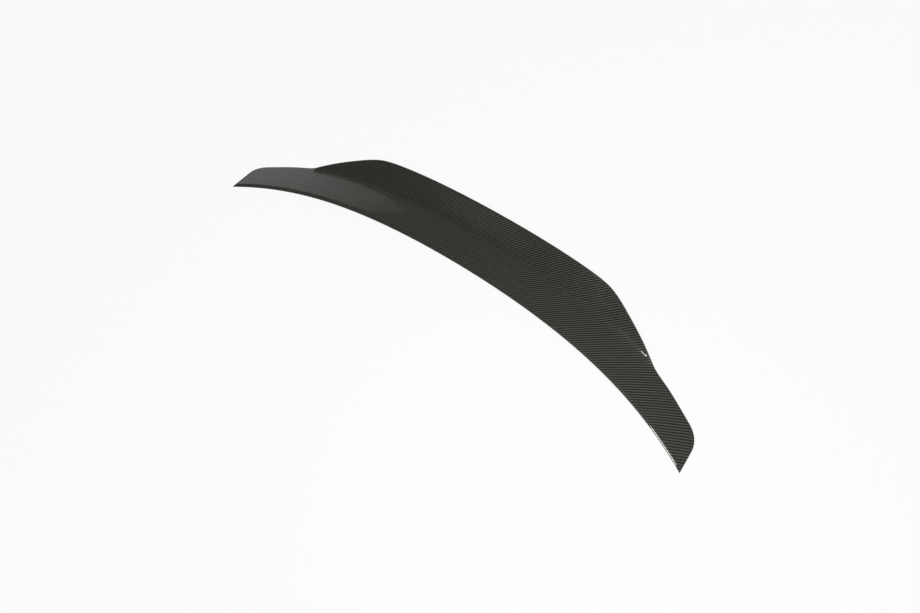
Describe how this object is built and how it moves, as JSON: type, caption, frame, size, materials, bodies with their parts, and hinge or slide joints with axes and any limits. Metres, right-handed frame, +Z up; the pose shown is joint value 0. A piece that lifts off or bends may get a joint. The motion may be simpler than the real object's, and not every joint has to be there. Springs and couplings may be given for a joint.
{
  "type": "car rear spoiler",
  "caption": "Duckbill rear spoiler for a car boot lid: a thin gloss carbon-fibre shell with a broad front flange, a raised kick, a rounded lip and a hollow underside.",
  "frame": {"origin": "centre of the footprint at the resting plane, under the middle of the part", "axes": "+X across the car, to the right for someone who looks at the part from its front edge, -Y towards the front of the car, +Z up from the boot lid"},
  "size_m": [1.2, 0.2404, 0.0731],
  "materials": {
    "carbon_laminate": "gloss clear coat over a 2x2 twill weave"
  },
  "bodies": {
    "root": {"spoiler": "carbon_laminate"}
  },
  "joints": []
}
